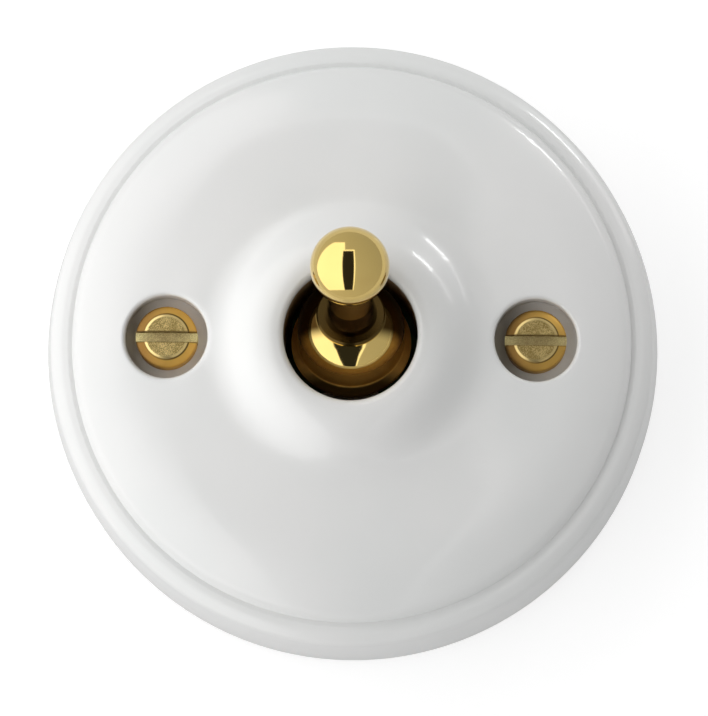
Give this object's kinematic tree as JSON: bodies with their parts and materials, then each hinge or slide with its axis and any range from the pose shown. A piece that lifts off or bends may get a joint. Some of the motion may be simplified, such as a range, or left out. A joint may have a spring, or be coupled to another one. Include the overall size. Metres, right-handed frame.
{
  "type": "toggle dimmer",
  "caption": "Round surface-mounted dimmer of white porcelain with a sprung brass toggle lever that has a ball end and works a push switch inside",
  "frame": {"origin": "centre of the flat back of the porcelain base, in the plane of the wall", "axes": "+Z points out of the wall, +Y points up the wall, the way the lever leans at rest"},
  "size_m": [0.065, 0.065, 0.0383],
  "materials": {
    "porcelain": "white glazed porcelain",
    "lever_brass": "turned and polished brass",
    "screw_brass": "satin brass with a cast grain",
    "inner_brass": "plain turned brass",
    "steel": "zinc plated steel",
    "spring_steel": "drawn spring wire",
    "black_insulation": "black moulded insulation",
    "black_moulding": "black epoxy moulding",
    "white_moulding": "white acetal",
    "board_laminate": "green laminate",
    "tinned_wire": "tinned wire",
    "sink_aluminium": "folded sheet",
    "ferrite": "dark ferrite",
    "copper_wire": "enamelled copper wire",
    "capacitor_box": "red film capacitor box",
    "fuse_case": "brown fuse case"
  },
  "bodies": {
    "housing": {"porcelain_base": "porcelain", "porcelain_cover": "porcelain", "cover_screws": "screw_brass", "threaded_bushes": "inner_brass", "lever_pin": "steel", "stop_pin": "steel", "lever_bracket": "steel", "insulating_shroud": "black_insulation", "follower_spring": "spring_steel", "bracket_screws": "steel", "bracket_spacers": "inner_brass", "bracket_nuts": "steel", "circuit_board": "board_laminate", "push_switch_case": "black_moulding", "push_switch_legs": "tinned_wire", "heat_sink": "sink_aluminium", "triac": "black_moulding", "triac_screw": "steel", "choke_core": "ferrite", "choke_winding": "copper_wire", "capacitor": "capacitor_box", "fuse": "fuse_case", "controller_chip": "black_moulding", "terminal_left": "inner_brass", "terminal_right": "inner_brass", "terminal_screws": "steel"},
    "lever": {"toggle_lever": "lever_brass"},
    "follower": {"cam_follower": "white_moulding", "push_switch_button": "white_moulding"}
  },
  "joints": [
    {"name": "lever_tilt", "type": "hinge", "parent": "housing", "child": "lever", "pos_m": [0, 0, 0.0182], "axis": [1, 0, 0], "range_deg": [0, 40], "stiffness_Nm_per_rad": 0.02, "springref_deg": -17.19},
    {"name": "follower_press", "type": "slide", "parent": "housing", "child": "follower", "axis": [0, 0, -1], "range_m": [0, 0.0005], "deforming": ["follower_spring"]}
  ],
  "couplings": [
    {"joint": "follower_press", "follows": "lever_tilt", "m_per_rad": 0.000716}
  ]
}
